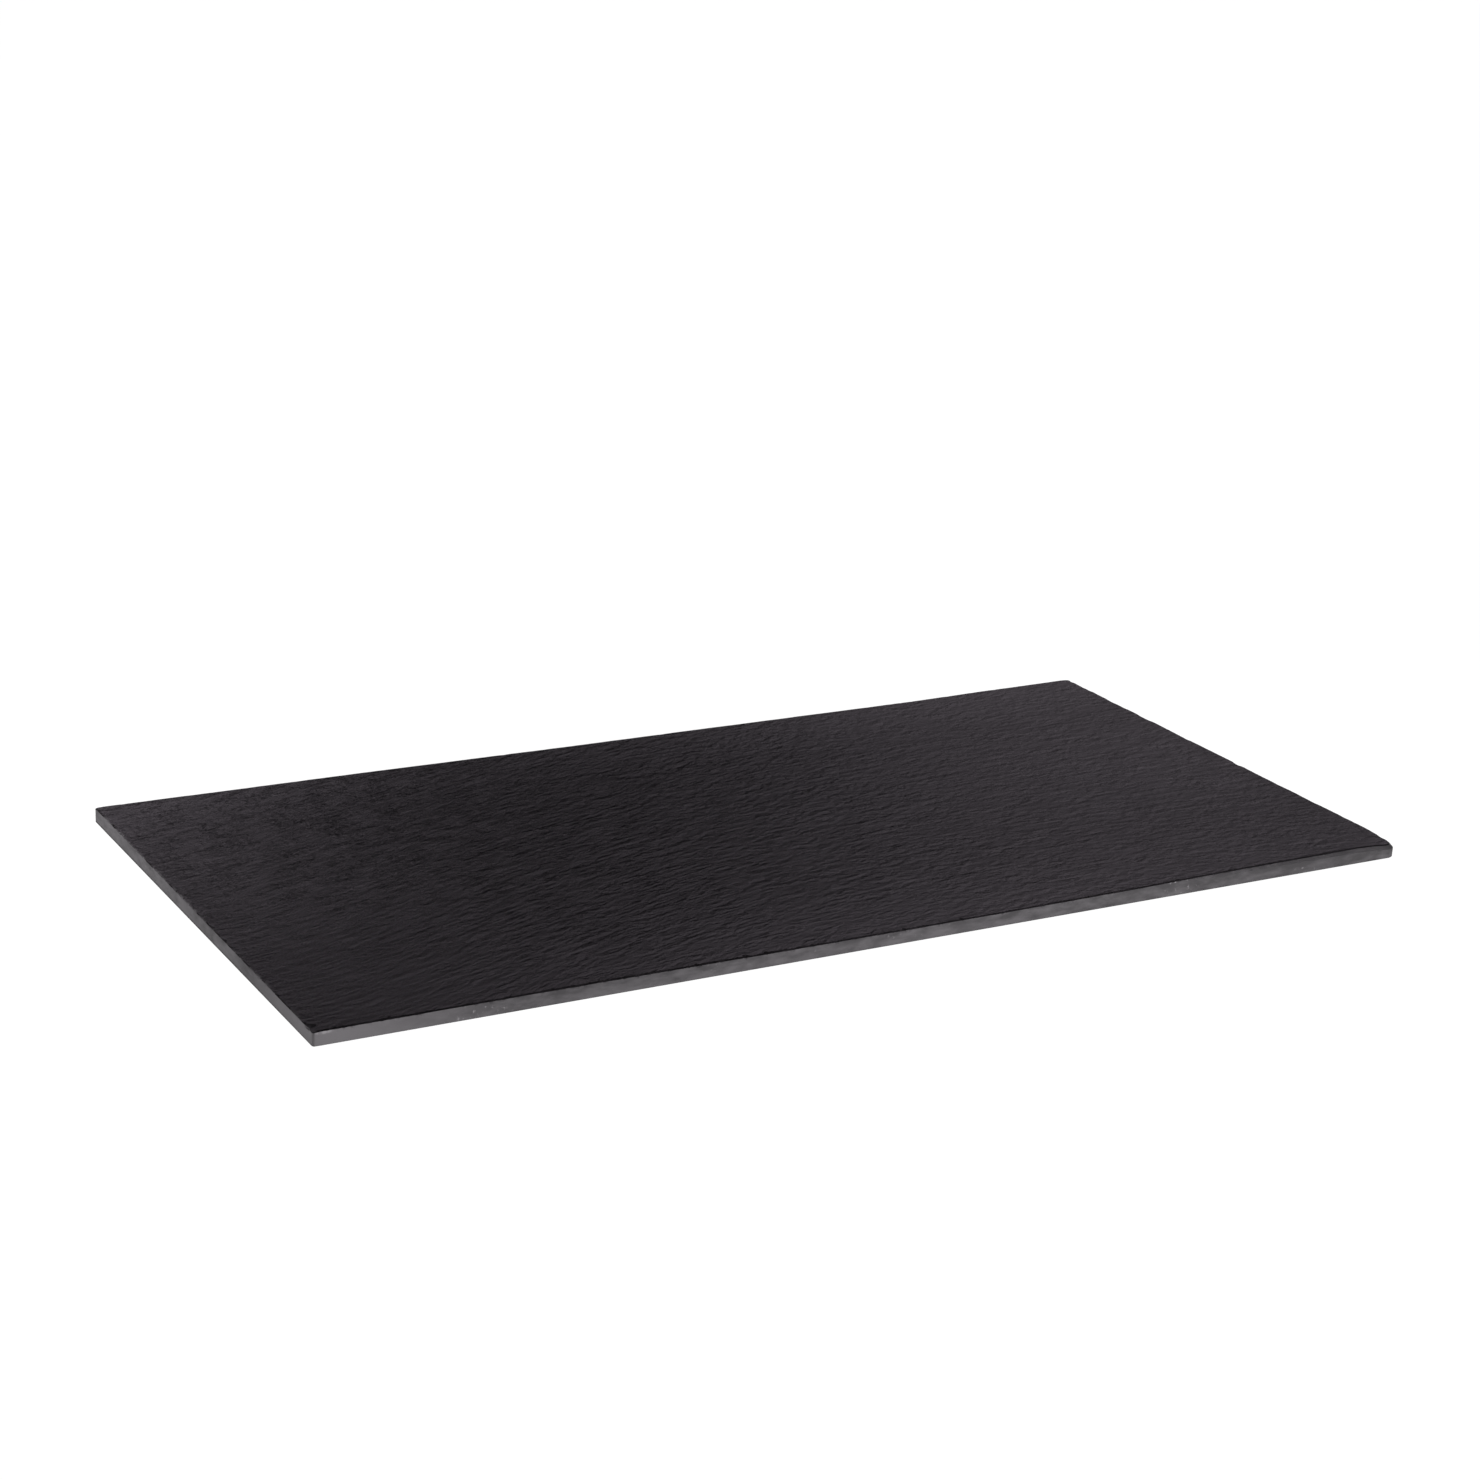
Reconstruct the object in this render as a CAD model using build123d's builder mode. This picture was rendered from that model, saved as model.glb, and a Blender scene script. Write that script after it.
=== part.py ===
"""Slate serving board: a sawn slab of riven slate on four self-adhesive rubber feet.

Millimetres, +Z up. X runs along the long side and Y from the front edge to the back edge.
The origin lies on the table, under the middle of the board.
"""

import os

from build123d import *

# Slate slab
BOARD_LENGTH = 500.0
BOARD_WIDTH = 250.0
BOARD_THICKNESS = 6.3  # over the high spots of the riven face
SAWN_CORNER_RADIUS = 1.2  # three corners, eased with a stone after sawing
WORN_CORNER_RADIUS = 5.0  # front right corner, rubbed round
TOP_ARRIS = 0.3  # bevel along the rim of the serving face
BOTTOM_ARRIS = 0.5  # bevel along the rim of the underside

# Rubber feet, with their wide end against the slate
FOOT_BASE_DIAMETER = 12.7
FOOT_CONTACT_DIAMETER = 12.0
FOOT_HEIGHT = 1.1
FOOT_RIM_RADIUS = 0.4
FOOT_INSET = 22.0  # from the board's edges to a foot's centre

# Adhesive disc between each foot and the slate
ADHESIVE_THICKNESS = 0.1
ADHESIVE_MARGIN = 0.3  # the disc stops this far inside the foot's wide end

UNDERSIDE_Z = FOOT_HEIGHT + ADHESIVE_THICKNESS
FOOT_X = BOARD_LENGTH / 2 - FOOT_INSET
FOOT_Y = BOARD_WIDTH / 2 - FOOT_INSET
FOOT_CENTRES = {
    "front_left": (-FOOT_X, -FOOT_Y),
    "front_right": (FOOT_X, -FOOT_Y),
    "back_left": (-FOOT_X, FOOT_Y),
    "back_right": (FOOT_X, FOOT_Y),
}


def make_slab():
    """The slate: a sawn rectangle with one worn corner and bevelled arrises."""
    with BuildPart() as slab:
        with BuildSketch(Plane.XY.offset(UNDERSIDE_Z)) as outline:
            Rectangle(BOARD_LENGTH, BOARD_WIDTH)
            left_corners = outline.vertices().group_by(Axis.X)[0]
            front_right, back_right = outline.vertices().group_by(Axis.X)[-1].sort_by(Axis.Y)
            fillet([*left_corners, back_right], SAWN_CORNER_RADIUS)
            fillet(front_right, WORN_CORNER_RADIUS)
        extrude(amount=BOARD_THICKNESS)
        chamfer(slab.faces().sort_by(Axis.Z)[-1].edges(), TOP_ARRIS)
        chamfer(slab.faces().sort_by(Axis.Z)[0].edges(), BOTTOM_ARRIS)
    slab.part.label = "slate_slab"
    export_step(slab.part, "parts/slate_slab.step")


def make_foot(corner, x, y):
    """A moulded rubber foot that narrows towards the table and has a rounded contact rim."""
    contact_radius = FOOT_CONTACT_DIAMETER / 2
    base_radius = FOOT_BASE_DIAMETER / 2
    with BuildPart() as foot:
        with BuildSketch(Plane(origin=(x, y, 0), x_dir=(1, 0, 0), z_dir=(0, -1, 0))) as profile:
            with BuildLine():
                Polyline(
                    (0, 0),
                    (contact_radius, 0),
                    (base_radius, FOOT_HEIGHT),
                    (0, FOOT_HEIGHT),
                    close=True,
                )
            make_face()
            contact_rim = profile.vertices().group_by(Axis.Y)[0].sort_by(Axis.X)[-1]
            fillet(contact_rim, FOOT_RIM_RADIUS)
        revolve(axis=Axis((x, y, 0), (0, 0, 1)))
    foot.part.label = f"foot_{corner}"
    export_step(foot.part, f"parts/foot_{corner}.step")


def make_adhesive(corner, x, y):
    """The disc of pressure-sensitive adhesive that holds a foot to the slate."""
    with BuildPart() as adhesive:
        with BuildSketch(Plane((x, y, FOOT_HEIGHT))):
            Circle(FOOT_BASE_DIAMETER / 2 - ADHESIVE_MARGIN)
        extrude(amount=ADHESIVE_THICKNESS)
    adhesive.part.label = f"adhesive_{corner}"
    export_step(adhesive.part, f"parts/adhesive_{corner}.step")


os.makedirs("parts", exist_ok=True)
make_slab()
for corner, (x, y) in FOOT_CENTRES.items():
    make_foot(corner, x, y)
    make_adhesive(corner, x, y)
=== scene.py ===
"""Slate serving board: a riven slab on rubber feet, dressed and lit for a white studio.

Metres, in the part's own frame: X along the long side, Y from front to back, Z up from the table.
"""

import logging
import math
import random
from collections.abc import Iterator
from contextlib import contextmanager
from dataclasses import dataclass, field
from enum import Enum
from typing import ClassVar

import bpy
import numpy as np
from mathutils import Matrix, Vector, noise


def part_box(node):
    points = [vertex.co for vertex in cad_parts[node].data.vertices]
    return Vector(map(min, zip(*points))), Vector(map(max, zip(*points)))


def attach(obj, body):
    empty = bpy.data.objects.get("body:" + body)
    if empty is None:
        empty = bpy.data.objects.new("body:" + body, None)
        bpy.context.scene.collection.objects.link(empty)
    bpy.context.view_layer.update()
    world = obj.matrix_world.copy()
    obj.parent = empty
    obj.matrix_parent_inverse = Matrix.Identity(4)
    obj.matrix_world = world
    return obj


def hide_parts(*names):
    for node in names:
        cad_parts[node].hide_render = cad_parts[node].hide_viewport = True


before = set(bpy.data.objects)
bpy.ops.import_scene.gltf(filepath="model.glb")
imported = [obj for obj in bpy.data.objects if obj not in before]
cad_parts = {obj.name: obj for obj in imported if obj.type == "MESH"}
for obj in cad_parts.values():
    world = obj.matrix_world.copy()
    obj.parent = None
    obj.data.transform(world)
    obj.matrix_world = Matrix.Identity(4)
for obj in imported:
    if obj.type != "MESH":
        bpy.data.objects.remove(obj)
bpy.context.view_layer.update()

LOG = logging.getLogger("slate_board")
BODY = "root"
MM = 0.001
NEARLY_ZERO = 1e-9
BOARD_ENDS = (-0.25, 0.25)

Colour = tuple[float, float, float]
Place = tuple[float, float, float]
Socket = bpy.types.NodeSocket


class Corner(Enum):
    """A corner of the board, as the sides of its middle that the corner lies on."""

    FRONT_LEFT = (-1, -1)
    FRONT_RIGHT = (1, -1)
    BACK_RIGHT = (1, 1)
    BACK_LEFT = (-1, 1)

    @property
    def label(self) -> str:
        """The corner's name as the nodes spell it."""
        return self.name.lower()


class Side(Enum):
    """A side of the board."""

    FRONT = "front"
    RIGHT = "right"
    BACK = "back"
    LEFT = "left"


class Band(Enum):
    """A band of the slab's skin, from the serving face down to the underside."""

    FACE = 0
    RIM = 1
    EDGE = 2
    UNDERSIDE = 3


class RippleForm(Enum):
    """The way that one layer of relief is shaped."""

    ROLLING = "rolling"
    RIDGED = "ridged"
    STEPPED = "stepped"


def read_points(piece: bpy.types.Object) -> np.ndarray:
    """Reads a piece's vertices.

    Args:
        piece: A mesh object that sits at the origin.

    Returns:
        One row of x, y and z for each vertex.
    """
    flat = np.empty(len(piece.data.vertices) * 3, np.float32)
    piece.data.vertices.foreach_get("co", flat)
    return flat.reshape(-1, 3).astype(float)


def write_points(piece: bpy.types.Object, points: np.ndarray) -> None:
    """Moves a piece's vertices to the given rows of x, y and z."""
    piece.data.vertices.foreach_set("co", points.astype(np.float32).ravel())
    piece.data.update()


def selected_vertices(piece: bpy.types.Object) -> np.ndarray:
    """Reads which vertices edit mode left selected.

    Args:
        piece: A mesh object in object mode.

    Returns:
        A mask with one entry for each vertex.
    """
    mask = np.empty(len(piece.data.vertices), bool)
    piece.data.vertices.foreach_get("select", mask)
    return mask


def pick_only(*pieces: bpy.types.Object) -> None:
    """Selects some objects alone.

    Args:
        pieces: The objects, of which the first becomes active.
    """
    bpy.ops.object.select_all(action="DESELECT")
    for piece in pieces:
        piece.select_set(True)
    bpy.context.view_layer.objects.active = pieces[0]


@contextmanager
def editing() -> Iterator[None]:
    """Holds the active mesh in edit mode.

    Returns:
        A context that opens edit mode and closes it again.
    """
    bpy.ops.object.mode_set(mode="EDIT")
    try:
        yield
    finally:
        bpy.ops.object.mode_set(mode="OBJECT")


def select_rim() -> None:
    """Selects the open rim of a sheet in edit mode."""
    bpy.ops.mesh.select_all(action="SELECT")
    bpy.ops.mesh.region_to_loop()


def smooth_step(low: float, high: float, value: np.ndarray) -> np.ndarray:
    """Rises smoothly from 0 at low to 1 at high."""
    share = np.clip((value - low) / (high - low), 0.0, 1.0)
    return share * share * (3.0 - 2.0 * share)


@dataclass(frozen=True)
class Outline:
    """The slab's outline from above: a rectangle with a radius of its own at each corner."""

    half_length: float
    half_width: float
    sawn_radius: float = 1.2 * MM
    worn_radius: float = 5.0 * MM
    worn_corner: Corner = Corner.FRONT_RIGHT
    cuts_per_corner: int = 5

    @property
    def half(self) -> np.ndarray:
        """Half the length and half the width."""
        return np.array([self.half_length, self.half_width])

    def radius(self, corner: Corner) -> float:
        """The radius of one corner."""
        return self.worn_radius if corner is self.worn_corner else self.sawn_radius

    def shares(self, points: np.ndarray) -> np.ndarray:
        """Each point's shares of the way from left to right and from front to back."""
        return points[:, :2] / (2 * self.half) + 0.5

    def from_tip(self, points: np.ndarray, corner: Corner) -> np.ndarray:
        """Each point's distance from where the sides would meet at a corner."""
        return np.linalg.norm(points[:, :2] - self.half * corner.value, axis=1)

    def quarters(self, points: np.ndarray) -> list[tuple[Corner, np.ndarray, np.ndarray]]:
        """Finds the points that lie out beyond the middle of each corner's radius.

        Args:
            points: One row of x, y and z for each point.

        Returns:
            For each corner, a mask of its points, and how far from the middle they lie in x and y.
        """
        found = []
        for corner in Corner:
            sides = np.array(corner.value, float)
            from_middle = points[:, :2] - sides * (self.half - self.radius(corner))
            mask = np.all(from_middle * sides > 0.0, axis=1)
            found.append((corner, mask, from_middle[mask]))
        return found

    def cutting_planes(self, inset: float) -> list[tuple[Vector, Vector]]:
        """Lists the planes that trim a sheet to the outline.

        Args:
            inset: How far inside the outline the sheet stops.

        Returns:
            A point on each plane and the plane's outward normal.
        """
        planes = []
        for corner in Corner:
            side_x, side_y = corner.value
            radius = self.radius(corner)
            centre_x = side_x * (self.half_length - radius)
            centre = Vector((centre_x, side_y * (self.half_width - radius), 0.0))
            for step in range(self.cuts_per_corner + 2):
                turn = math.pi / 2 * step / (self.cuts_per_corner + 1)
                normal = Vector((side_x * math.cos(turn), side_y * math.sin(turn), 0.0))
                planes.append((centre + normal * (radius - inset), normal))
        return planes

    def outward(self, points: np.ndarray) -> np.ndarray:
        """Finds the way out of the slab for points near its rim.

        Args:
            points: One row of x, y and z for each point.

        Returns:
            One unit row of x and y for each point.
        """
        way = np.zeros((len(points), 2))
        near_side = self.half_width - np.abs(points[:, 1]) < self.half_length - np.abs(points[:, 0])
        way[near_side, 1] = np.sign(points[near_side, 1])
        way[~near_side, 0] = np.sign(points[~near_side, 0])
        for _, mask, from_middle in self.quarters(points):
            spans = np.linalg.norm(from_middle, axis=1, keepdims=True)
            way[mask] = from_middle / np.maximum(spans, NEARLY_ZERO)
        return way

    def inside(self, points: np.ndarray) -> np.ndarray:
        """Measures how far points lie inside the outline.

        Args:
            points: One row of x, y and z for each point.

        Returns:
            Each point's distance to the outline, along the way out.
        """
        depth = np.minimum(self.half_length - np.abs(points[:, 0]), self.half_width - np.abs(points[:, 1]))
        for corner, mask, from_middle in self.quarters(points):
            depth[mask] = self.radius(corner) - np.linalg.norm(from_middle, axis=1)
        return depth

    def along_rim(self, points: np.ndarray) -> np.ndarray:
        """Measures the way round the rim, from the front left corner towards the front right one.

        Args:
            points: One row of x, y and z for each point.

        Returns:
            The way to the place on the rim beside each point.
        """
        x, y = points[:, 0], points[:, 1]
        length, width = 2 * self.half_length, 2 * self.half_width
        way = self.outward(points)
        sideways = np.abs(way[:, 0]) > np.abs(way[:, 1])
        front = x + self.half_length
        right = length + y + self.half_width
        back = length + width + self.half_length - x
        left = 2 * length + width + self.half_width - y
        at_ends = np.where(way[:, 0] > 0, right, left)
        return np.where(sideways, at_ends, np.where(way[:, 1] > 0, back, front))

    def stretch(self, side: Side) -> tuple[float, float]:
        """Finds where one side begins and ends on the way round the rim.

        Args:
            side: The side.

        Returns:
            The ways to its start and to its end.
        """
        length, width = 2 * self.half_length, 2 * self.half_width
        return {
            Side.FRONT: (0.0, length),
            Side.RIGHT: (length, length + width),
            Side.BACK: (length + width, 2 * length + width),
            Side.LEFT: (2 * length + width, 2 * length + 2 * width),
        }[side]


@dataclass(frozen=True)
class Grain:
    """The run of the cleavage grain, which climbs steeply near the left end and fans out to the right.

    Going right by a unit, a grain line climbs towards the back by
    far_slope + near_slope * u * exp(1 - u) + fan * y / width,
    with u as the way from lead before the left edge in units of reach, and y measured from the middle.
    """

    half_length: float
    half_width: float
    far_slope: float = -0.01
    near_slope: float = 0.45
    fan: float = 0.15
    lead: float = 20.0 * MM
    reach: float = 95.0 * MM
    margin: float = 10.0 * MM
    samples: int = 600

    def spread(self, x: np.ndarray) -> np.ndarray:
        """How far apart the lines have drawn at x, for each unit between them at the left edge."""
        return np.exp(self.fan * (x + self.half_length) / (2 * self.half_width))

    def climb(self, x: np.ndarray) -> np.ndarray:
        """Adds up the climb of the middle line.

        Args:
            x: How far along the board to go.

        Returns:
            The climb up to each x, in units of the spacing at the left edge.
        """
        limit = self.half_length + self.margin
        stations = np.linspace(-limit, limit, self.samples)
        rate = self.slope(stations, np.zeros(self.samples)) / self.spread(stations)
        steps = np.diff(stations) * (rate[1:] + rate[:-1]) / 2
        total = np.concatenate([[0.0], np.cumsum(steps)])
        return np.interp(x, stations, total)

    def line_at(self, x: np.ndarray, y: np.ndarray) -> np.ndarray:
        """Names the grain line through a point by its height at the left edge."""
        return y / self.spread(x) - self.climb(x)

    def height(self, x: np.ndarray, line: np.ndarray) -> np.ndarray:
        """Finds a grain line's y at x."""
        return self.spread(x) * (line + self.climb(x))

    def slope(self, x: np.ndarray, y: np.ndarray) -> np.ndarray:
        """Finds the slope of the grain line through each point.

        Args:
            x: How far along the board the points lie.
            y: How far back they lie.

        Returns:
            The climb towards the back for each unit to the right.
        """
        way = (x + self.half_length + self.lead) / self.reach
        near_left = self.near_slope * way * np.exp(1.0 - way)
        return self.far_slope + near_left + self.fan * y / (2 * self.half_width)


@dataclass(frozen=True)
class RippleLayer:
    """One layer of the riven relief, stretched along the grain.

    The sizes are the ripple's usual length, width and depth, and shift keeps layers unlike each other.
    """

    along: float
    across: float
    depth: float
    form: RippleForm
    shift: float
    ridge_gain: ClassVar[float] = 1.6
    step_half: ClassVar[float] = 0.05
    roll_gain: ClassVar[float] = 0.7
    roll_level: ClassVar[float] = -0.5

    def heights(self, along: np.ndarray, across: np.ndarray, crowding: np.ndarray) -> np.ndarray:
        """Works out the layer's height at each point.

        Args:
            along: Each point's way along its grain line.
            across: Each point's grain line, spaced as at the right end of the board.
            crowding: How much closer the lines lie at each point than at the right end.

        Returns:
            Heights from about minus the depth up to zero.
        """
        octave = np.log2(np.clip(crowding, 1.0, 2.0))
        total = np.zeros(len(along))
        for doubling, weight in enumerate((1.0 - octave, octave)):
            used = np.flatnonzero(weight > 0.0)
            places = np.column_stack([
                along[used] / self.along,
                across[used] / (self.across * 2**doubling),
                np.full(len(used), self.shift + doubling),
            ])
            total[used] += weight[used] * np.array([noise.noise(place) for place in places.tolist()])
        return self.depth * self.shaped(total)

    def shaped(self, values: np.ndarray) -> np.ndarray:
        """Gives noise the layer's form.

        Args:
            values: Noise from about -1 to 1.

        Returns:
            Heights from -1 to 0.
        """
        if self.form is RippleForm.RIDGED:
            return -np.minimum(np.abs(values) * self.ridge_gain, 1.0)
        if self.form is RippleForm.STEPPED:
            return -smooth_step(-self.step_half, self.step_half, values)
        return np.clip(values * self.roll_gain + self.roll_level, -1.0, 0.0)


@dataclass(frozen=True)
class Warp:
    """The slow sag of the serving face below its highest point, along its front and back edges.

    Each edge is a list of pairs: a share of the way from left to right, and the sag there.
    """

    front: tuple[tuple[float, float], ...] = (
        (0.00, 0.50 * MM),
        (0.20, 0.33 * MM),
        (0.46, 0.68 * MM),
        (0.80, 0.0),
        (1.00, 0.40 * MM),
    )
    back: tuple[tuple[float, float], ...] = (
        (0.00, 0.05 * MM),
        (0.15, 0.13 * MM),
        (0.50, 0.60 * MM),
        (0.80, 0.75 * MM),
        (0.93, 0.20 * MM),
        (1.00, 0.0),
    )

    def sag(self, across: np.ndarray, deep: np.ndarray) -> np.ndarray:
        """Finds the sag at shares of the way from left to right and from front to back."""
        return self.along(self.front, across) * (1.0 - deep) + self.along(self.back, across) * deep

    @staticmethod
    def along(pairs: tuple[tuple[float, float], ...], across: np.ndarray) -> np.ndarray:
        """Eases from each of an edge's sags to the next one.

        Args:
            pairs: The edge's sags.
            across: Shares of the way from the left edge to the right one.

        Returns:
            The edge's sag at each share.
        """
        level = np.full(len(across), pairs[0][1])
        for (start, before), (end, after) in zip(pairs, pairs[1:]):
            level += (after - before) * smooth_step(start, end, across)
        return level


@dataclass(frozen=True)
class Wear:
    """A corner that has been knocked down: how far the wear reaches, and how deep it is at the corner."""

    corner: Corner
    reach: float
    depth: float


@dataclass(frozen=True)
class Chipping:
    """How one side of the rim is chipped: the usual gap, the chips' half lengths and the deepest bite."""

    side: Side
    gap: float
    reach: tuple[float, float]
    depth: float


@dataclass(frozen=True)
class Chip:
    """A bite out of the rim: its middle along the rim, half its length, and its depth."""

    place: float
    reach: float
    depth: float


@dataclass
class RivenSlab:
    """The slate slab, with its riven face, chipped rim and sawn edges.

    The serving face ends at the inner line of its arris. From round_start on, as a share of the length,
    the front arris is rubbed back more and more, and only worn_chips of each chip is left. A chip takes
    foot_bite of its depth from the arris's foot, and foot_drop of it downwards. Where chips would fold the
    face, they are eased in steps until each triangle keeps least_area of its area.
    """

    low: Vector
    high: Vector
    pitch_along: float = 3.0 * MM
    pitch_across: float = 0.95 * MM
    rim_pitch: float = 0.3 * MM
    rim_divisions: int = 2
    weld: float = 0.30 * MM
    arris: float = 0.35 * MM
    arris_drop: float = 0.22 * MM
    chip_drop: float = 0.6 * MM
    foot_bite: float = 0.3
    foot_drop: float = 0.2
    corner_fade: tuple[float, float] = (1.5, 2.5)
    front_lip: float = 0.75 * MM
    lip_reach: float = 8.0 * MM
    round_over: float = 3.1 * MM
    round_start: float = 0.73
    round_blend: float = 0.1
    worn_chips: float = 0.3
    easing: float = 0.7
    easings: int = 20
    least_area: float = 0.1
    bottom_arris: float = 0.1 * MM
    bottom_rise: float = 0.12 * MM
    wall_drops: tuple[float, ...] = (1.1 * MM, 2.2 * MM, 3.3 * MM, 4.4 * MM)
    underside_pitch: float = 3.6 * MM
    underside_inset: float = 7.0 * MM
    pad_radius: float = 9.0 * MM
    pad_blend: float = 8.0 * MM
    saw_mark: Place = (9 * MM, 9 * MM, 0.9 * MM)
    saw_depth: float = 0.03 * MM
    saw_shift: float = 51.3
    grain_skew: float = 0.35
    smooth_angle: float = 38.0
    slack: float = 0.01 * MM
    seed: int = 7
    chip_share: tuple[float, float] = (0.1, 1.0)
    chip_power: float = 1.5
    chippings: tuple[Chipping, ...] = (
        Chipping(Side.FRONT, 1.9 * MM, (0.7 * MM, 1.5 * MM), 2.2 * MM),
        Chipping(Side.RIGHT, 8.0 * MM, (3.0 * MM, 7.0 * MM), 0.9 * MM),
        Chipping(Side.BACK, 9.0 * MM, (0.8 * MM, 2.0 * MM), 0.25 * MM),
        Chipping(Side.LEFT, 3.6 * MM, (0.8 * MM, 1.8 * MM), 1.3 * MM),
    )
    notches: tuple[Chip, ...] = (Chip(1494.5 * MM, 2.6 * MM, 3.4 * MM),)
    warp: Warp = Warp()
    wears: tuple[Wear, ...] = (
        Wear(Corner.FRONT_RIGHT, 26 * MM, 1.6 * MM),
        Wear(Corner.FRONT_LEFT, 4 * MM, 0.5 * MM),
        Wear(Corner.BACK_RIGHT, 5 * MM, 0.4 * MM),
        Wear(Corner.BACK_LEFT, 4 * MM, 0.3 * MM),
    )
    layers: tuple[RippleLayer, ...] = (
        RippleLayer(150 * MM, 17 * MM, 0.04 * MM, RippleForm.STEPPED, 11.7),
        RippleLayer(36 * MM, 5.5 * MM, 0.06 * MM, RippleForm.RIDGED, 23.4),
        RippleLayer(18 * MM, 4.0 * MM, 0.08 * MM, RippleForm.ROLLING, 37.9),
    )
    outline: Outline = field(init=False)
    grain: Grain = field(init=False)

    def __post_init__(self) -> None:
        """Takes the outline and the grain from the slab's box."""
        half_length = (self.high.x - self.low.x) / 2
        half_width = (self.high.y - self.low.y) / 2
        self.outline = Outline(half_length, half_width)
        self.grain = Grain(half_length, half_width)

    def build(self, pads: list[Vector]) -> bpy.types.Object:
        """Models the slab.

        Args:
            pads: The middles of the places on the underside that stay flat for the feet.

        Returns:
            The finished slab, at the origin.
        """
        slab = self.lay_face()
        self.drop_edges(slab)
        self.close_underside(slab)
        nominal = read_points(slab)
        self.sort_bands(slab, nominal)
        self.map_grain(slab, nominal)
        write_points(slab, self.weathered(nominal, pads, self.bite(slab, nominal)))
        pick_only(slab)
        bpy.ops.object.shade_smooth_by_angle(angle=math.radians(self.smooth_angle))
        return slab

    def lay_face(self) -> bpy.types.Object:
        """Lays a sheet whose rows run with the grain, and trims it to the rim.

        Returns:
            The serving face, flat for now, up to the inner line of its arris.
        """
        rows = Grain(self.outline.half_length, self.outline.half_width, fan=0.0)
        half_x = self.outline.half_length + self.pitch_along
        half_y = self.outline.half_width + self.pitch_along
        first = rows.line_at(np.array([half_x]), np.array([-half_y]))[0]
        last = rows.line_at(np.array([-half_x]), np.array([half_y]))[0]
        at_left = self.pitch_across / rows.spread(np.array([half_x]))[0]
        bpy.ops.object.select_all(action="DESELECT")
        bpy.ops.mesh.primitive_grid_add(
            x_subdivisions=round(2 * half_x / self.pitch_along),
            y_subdivisions=round((last - first) / at_left),
            size=1.0,
        )
        sheet = bpy.context.object
        sheet.name = sheet.data.name = "riven_slab"
        points = read_points(sheet)
        points[:, 0] *= 2 * half_x
        lines = (first + last) / 2 + points[:, 1] * (last - first)
        points[:, 1] = rows.height(points[:, 0], lines)
        points[:, 2] = self.high.z
        write_points(sheet, points)
        with editing():
            bpy.ops.mesh.select_mode(type="EDGE")
            for point, normal in self.outline.cutting_planes(self.arris):
                bpy.ops.mesh.select_all(action="SELECT")
                bpy.ops.mesh.bisect(plane_co=point, plane_no=normal, clear_outer=True, threshold=1e-6)
            select_rim()
            bpy.ops.mesh.remove_doubles(threshold=self.weld)
        self.divide_rim(sheet)
        return sheet

    def divide_rim(self, sheet: bpy.types.Object) -> None:
        """Divides the longer edges along the rim, so that chips have points to follow.

        Args:
            sheet: The trimmed serving face.
        """
        for _ in range(self.rim_divisions):
            with editing():
                select_rim()
            points = read_points(sheet)
            for edge in sheet.data.edges:
                if edge.select:
                    first, last = edge.vertices
                    edge.select = bool(np.linalg.norm(points[first] - points[last]) > self.rim_pitch)
            with editing():
                bpy.ops.mesh.subdivide(number_cuts=1)

    def drop_edges(self, slab: bpy.types.Object) -> None:
        """Extrudes the rim into the arris, the sawn edge and the bevel under it.

        Args:
            slab: The serving face, which becomes an open box.
        """
        with editing():
            select_rim()
        foot = self.low.z + self.bottom_rise
        rings = [(self.arris, self.high.z - self.arris_drop)]
        rings += [(0.0, self.high.z - drop) for drop in self.wall_drops]
        rings += [(0.0, foot), (-self.bottom_arris, self.low.z)]
        for outset, height in rings:
            with editing():
                bpy.ops.mesh.extrude_region_move()
            ring = selected_vertices(slab)
            points = read_points(slab)
            points[ring, :2] += outset * self.outline.outward(points[ring])
            points[ring, 2] = height
            write_points(slab, points)

    def close_underside(self, slab: bpy.types.Object) -> None:
        """Sets a coarser sheet into the underside and fills the strip round it.

        Args:
            slab: The open box, which becomes a closed slab.
        """
        half_x = self.outline.half_length - self.underside_inset
        half_y = self.outline.half_width - self.underside_inset
        bpy.ops.object.select_all(action="DESELECT")
        bpy.ops.mesh.primitive_grid_add(
            x_subdivisions=round(2 * half_x / self.underside_pitch),
            y_subdivisions=round(2 * half_y / self.underside_pitch),
            size=1.0,
        )
        sheet = bpy.context.object
        points = read_points(sheet)
        points[:, 0] *= 2 * half_x
        points[:, 1] *= 2 * half_y
        points[:, 2] = self.low.z
        write_points(sheet, points)
        pick_only(slab, sheet)
        bpy.ops.object.join()
        with editing():
            bpy.ops.mesh.select_mode(type="EDGE")
            bpy.ops.mesh.select_all(action="DESELECT")
            bpy.ops.mesh.select_non_manifold()
            bpy.ops.mesh.fill(use_beauty=True)
            bpy.ops.mesh.select_all(action="SELECT")
            bpy.ops.mesh.normals_make_consistent(inside=False)

    def sort_bands(self, slab: bpy.types.Object, points: np.ndarray) -> None:
        """Gives each face the material slot of its band, by the heights of its corners.

        Args:
            slab: The flat slab.
            points: Its vertices.
        """
        arris_foot = self.high.z - self.arris_drop
        edge_foot = self.low.z + self.bottom_rise
        for face in slab.data.polygons:
            heights = points[list(face.vertices), 2]
            if heights.min() > self.high.z - self.slack:
                face.material_index = Band.FACE.value
            elif heights.min() > arris_foot - self.slack:
                face.material_index = Band.RIM.value
            elif heights.min() > edge_foot - self.slack:
                face.material_index = Band.EDGE.value
            elif heights.max() > self.low.z + self.slack:
                face.material_index = Band.RIM.value
            else:
                face.material_index = Band.UNDERSIDE.value

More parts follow.
